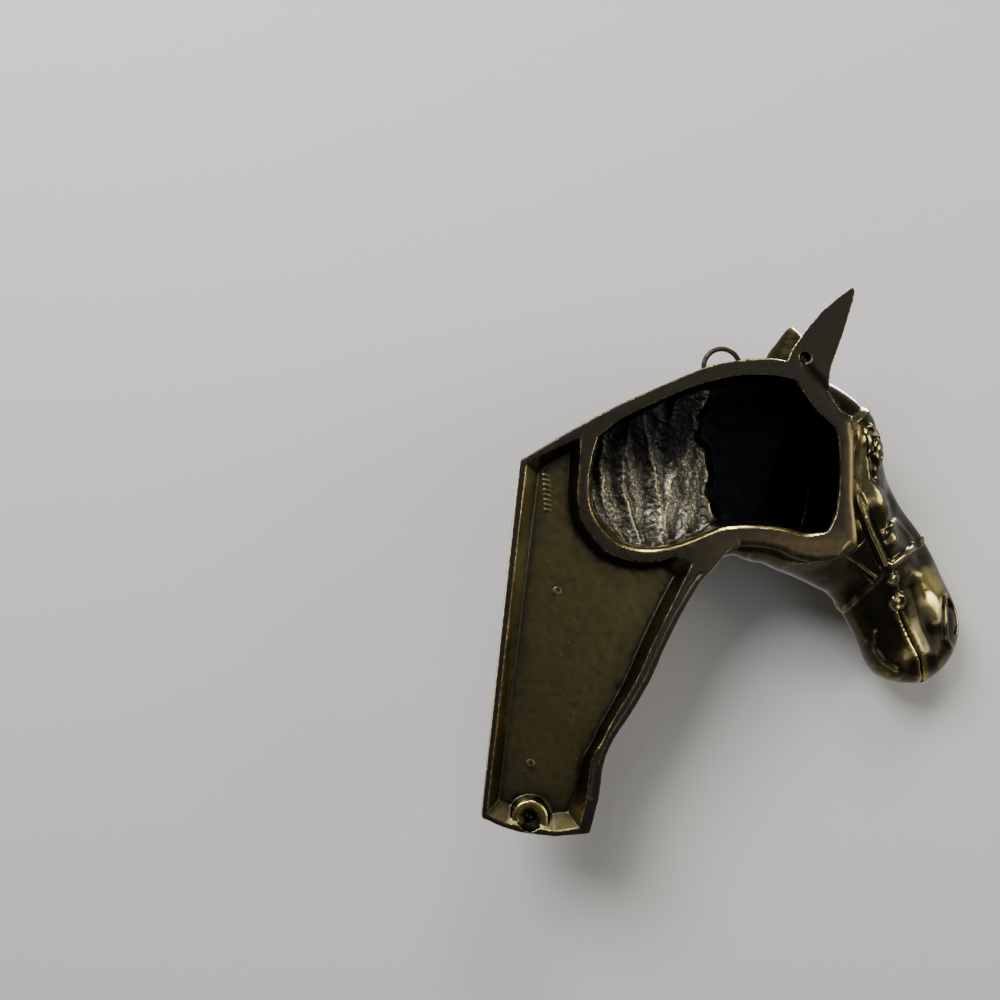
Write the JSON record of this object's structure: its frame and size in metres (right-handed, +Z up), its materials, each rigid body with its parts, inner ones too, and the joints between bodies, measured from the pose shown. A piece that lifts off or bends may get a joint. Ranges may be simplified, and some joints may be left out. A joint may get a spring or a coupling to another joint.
{
  "type": "horse relief plaque",
  "caption": "Hollow-backed cast brass wall plaque in high relief: a bridled horse's head turned out from a cut-off neck, with a bent wire hanging loop in the crest.",
  "frame": {"origin": "on the flat back rim of the crest, right below the hanging loop, in the plane that lies against the wall", "axes": "+Z up, +Y into the wall, so the relief stands out towards -Y; the horse looks towards -X"},
  "size_m": [0.2374, 0.0641, 0.2511],
  "materials": {
    "antique_brass": "dark antique patina, rubbed to gold on the high places, sand-cast roughness behind",
    "loop_wire": "darkened drawn wire"
  },
  "bodies": {
    "root": {"plaque_casting": "antique_brass", "hanging_loop": "loop_wire"}
  },
  "joints": []
}
